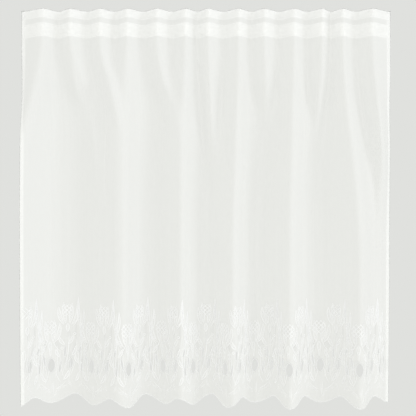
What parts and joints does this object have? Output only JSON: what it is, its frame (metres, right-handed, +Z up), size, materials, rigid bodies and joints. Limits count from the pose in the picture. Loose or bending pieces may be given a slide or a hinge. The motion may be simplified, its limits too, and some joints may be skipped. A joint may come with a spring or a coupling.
{
  "type": "lace curtain",
  "caption": "Sheer voile curtain hanging in uneven folds from a taped heading, with a scalloped hem and an openwork flower border cut through with leaf-shaped gaps.",
  "frame": {"origin": "middle of the top edge, halfway between the front and the back of the heading's folds", "axes": "+Z up the curtain, +X to the right as seen from the front, the front of the cloth faces -Y"},
  "size_m": [1.3677, 0.1069, 1.4499],
  "materials": {
    "voile": "sheer white polyester voile with white embroidery along the hem",
    "tape": "close woven white gathering tape"
  },
  "bodies": {
    "root": {"curtain_cloth": "voile", "heading_tape": "tape"}
  },
  "joints": []
}
